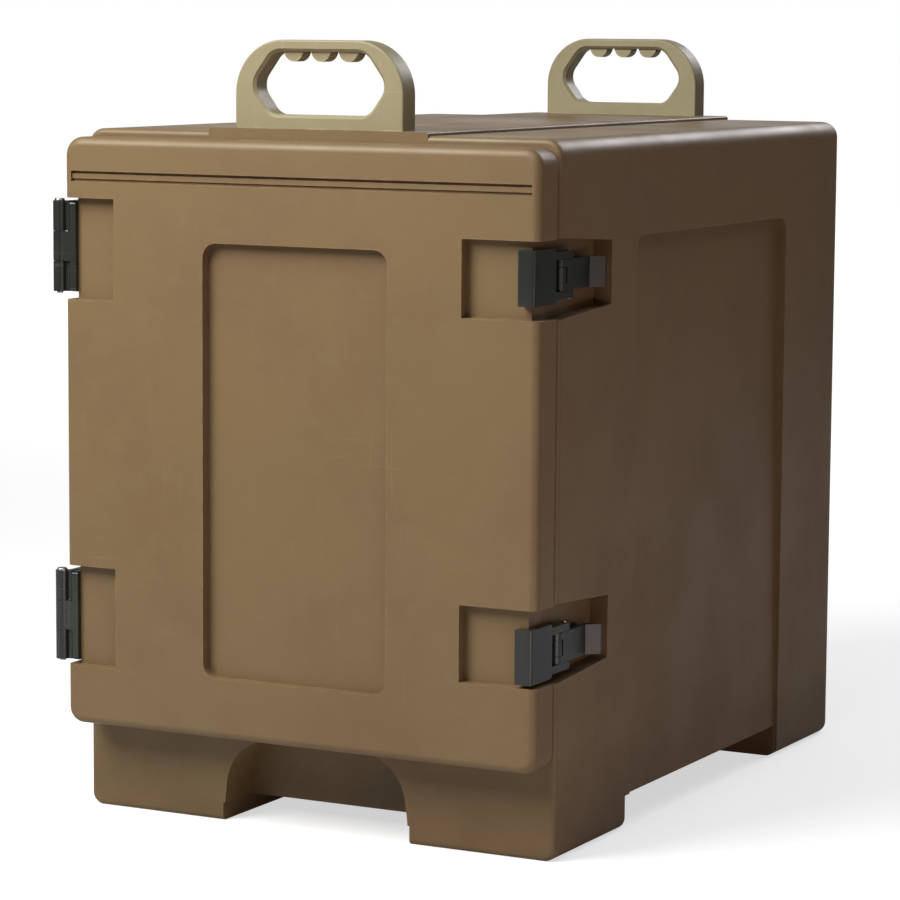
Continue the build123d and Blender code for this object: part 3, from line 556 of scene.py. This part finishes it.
for place in HINGE_PLACES:
    make_screws(f"{place}_hinge_body_screws", "body", TO_LEFT, HEAD_H)
    make_screws(f"{place}_hinge_door_screws", "door", TO_LEFT, LOW_HEAD_H)
    make_screws(f"{place}_latch_screws", "body", TO_RIGHT, HEAD_H)
for place in HANDLE_PLACES:
    make_screws(f"{place}_handle_screws", "body", UPWARD, HEAD_H)


GASKET_ROUND = 0.033
GASKET_ROUND_STEPS = 10
GASKET_WIDTH = 13 * MM
GASKET_FLANGE = 1.6 * MM
LIP_SETBACK = 0.9 * MM
LIP_WIDTH = 3.2 * MM
LIP_GROOVE = 1.9 * MM
LIP_ROUND = 0.8 * MM


def make_gasket():
    """The door's seal: a flange on the lid and two soft lips with a groove between them."""
    low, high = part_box("door_gasket")
    mesh = bmesh.new()
    sides = ((low.x, low.z), (high.x, low.z), (high.x, high.z), (low.x, high.z))
    corners = [mesh.verts.new((x, low.y, z)) for x, z in sides]
    mesh.faces.new(corners)
    bmesh.ops.bevel(
        mesh,
        geom=corners,
        offset=GASKET_ROUND,
        segments=GASKET_ROUND_STEPS,
        profile=0.5,
        affect="VERTICES",
        material=-1,
    )
    sheet = list(mesh.faces)
    ring = bmesh.ops.inset_region(
        mesh, faces=sheet, thickness=GASKET_WIDTH, use_boundary=True, use_even_offset=True
    )["faces"]
    bmesh.ops.delete(mesh, geom=sheet, context="FACES")
    flange = raise_faces(mesh, ring, Vector((0, GASKET_FLANGE, 0)))
    bmesh.ops.inset_region(mesh, faces=flange, thickness=LIP_SETBACK, use_even_offset=True)
    crown = raise_faces(mesh, flange, Vector((0, high.y - low.y - GASKET_FLANGE, 0)))
    bmesh.ops.inset_region(mesh, faces=crown, thickness=LIP_WIDTH, use_even_offset=True)
    raise_faces(mesh, crown, Vector((0, -LIP_GROOVE, 0)))
    gasket = finish_piece(mesh, "door_gasket_lipped", "door", "gasket_rubber", "door_gasket")
    soften = gasket.modifiers.new("soft_lips", "BEVEL")
    soften.width = LIP_ROUND
    soften.segments = 3
    soften.limit_method = "ANGLE"
    return gasket


make_gasket()


# Studio: pale floor, soft lights and a white surround

FLOOR_HALF = 9.0
FLOOR_COLOUR = (0.55, 0.55, 0.56)
FLOOR_MOTTLE = 0.99
FLOOR_LIFT = 0.62
FAR_LIFT = 1.1
FADE_FROM = 1.2
FADE_TO = 4.5


def make_floor():
    """A plain pale floor under the carrier."""
    mesh = bmesh.new()
    bmesh.ops.create_grid(mesh, x_segments=2, y_segments=2, size=FLOOR_HALF)
    data = bpy.data.meshes.new("floor")
    mesh.to_mesh(data)
    mesh.free()
    material, tree, shader = new_material("pale_floor")
    tone = spread(tree, noise(tree, 1.2, 2.0, 0.5), 0.3, 0.7)
    darker = tuple(FLOOR_MOTTLE * part for part in FLOOR_COLOUR)
    mottled = mix_colour(tree, tone, (*FLOOR_COLOUR, 1), (*darker, 1))
    link(tree, mottled, shader.inputs["Base Color"])
    shader.inputs["Roughness"].default_value = 0.75
    shader.inputs["Specular IOR Level"].default_value = 0.2
    shader.inputs["Emission Color"].default_value = (1, 1, 1, 1)
    seen = tree.nodes.new("ShaderNodeLightPath").outputs["Is Camera Ray"]
    place = tree.nodes.new("ShaderNodeTexCoord").outputs["Object"]
    reach = node(tree, "ShaderNodeVectorMath", operation="LENGTH")
    link(tree, place, reach.inputs[0])
    lift = spread(tree, reach.outputs["Value"], FADE_FROM, FADE_TO, FLOOR_LIFT, FAR_LIFT)
    link(tree, math_node(tree, "MULTIPLY", seen, lift), shader.inputs["Emission Strength"])
    floor = bpy.data.objects.new("floor", data)
    floor.data.materials.append(material)
    bpy.context.scene.collection.objects.link(floor)


def area_light(name, place, aim, size, power, colour):
    """A soft rectangular light at a place, turned towards its aim."""
    data = bpy.data.lights.new(name, "AREA")
    data.shape = "RECTANGLE"
    data.size, data.size_y = size
    data.energy = power
    data.color = colour
    light = bpy.data.objects.new(name, data)
    direction = Vector(aim) - Vector(place)
    light.rotation_euler = direction.to_track_quat("-Z", "Y").to_euler()
    light.location = place
    bpy.context.scene.collection.objects.link(light)


def make_surround():
    """A white surround that lights softly and is seen as plain white."""
    world = bpy.data.worlds.new("surround")
    world.use_nodes = True
    tree = world.node_tree
    tree.nodes.clear()
    dim = node(tree, "ShaderNodeBackground", Color=(1.0, 0.95, 0.90, 1), Strength=0.06)
    white = node(tree, "ShaderNodeBackground", Color=(1, 1, 1, 1), Strength=1.0)
    seen = tree.nodes.new("ShaderNodeLightPath").outputs["Is Camera Ray"]
    mixed = tree.nodes.new("ShaderNodeMixShader")
    output = tree.nodes.new("ShaderNodeOutputWorld")
    link(tree, seen, mixed.inputs[0])
    link(tree, dim.outputs[0], mixed.inputs[1])
    link(tree, white.outputs[0], mixed.inputs[2])
    link(tree, mixed.outputs[0], output.inputs[0])
    bpy.context.scene.world = world


MIDDLE = (cad_low + cad_high) / 2
bpy.context.scene.view_settings.view_transform = "Standard"
make_floor()
make_surround()

DOOR_TOP = (0, -0.3, 0.5)
ROOF = (0, 0, 0.57)
LOW_SIDE = (0.216, -0.15, 0.12)

# Name, place, aim, size, power in watts, colour
LIGHTS = (
    ("key", (-0.75, -1.55, 1.65), MIDDLE, (1.1, 1.1), 58, (1.0, 0.99, 0.90)),
    ("veil", (-0.1, -0.72, 1.45), DOOR_TOP, (1.3, 0.3), 8, (0.80, 0.98, 1.0)),
    ("rim", (0.6, 2.3, 1.7), MIDDLE, (1.4, 0.6), 26, (0.97, 0.96, 1.0)),
    ("back_card", (-1.0, 2.5, 0.95), ROOF, (1.8, 0.8), 4.5, (0.96, 0.95, 1.0)),
    ("side_fill", (3.4, -0.4, 0.9), MIDDLE, (1.4, 1.4), 5, (1.0, 0.76, 0.66)),
    ("floor_bounce", (1.3, -1.0, 0.08), LOW_SIDE, (0.9, 0.2), 3.4, (1.0, 0.74, 0.66)),
)

for light in LIGHTS:
    area_light(*light)
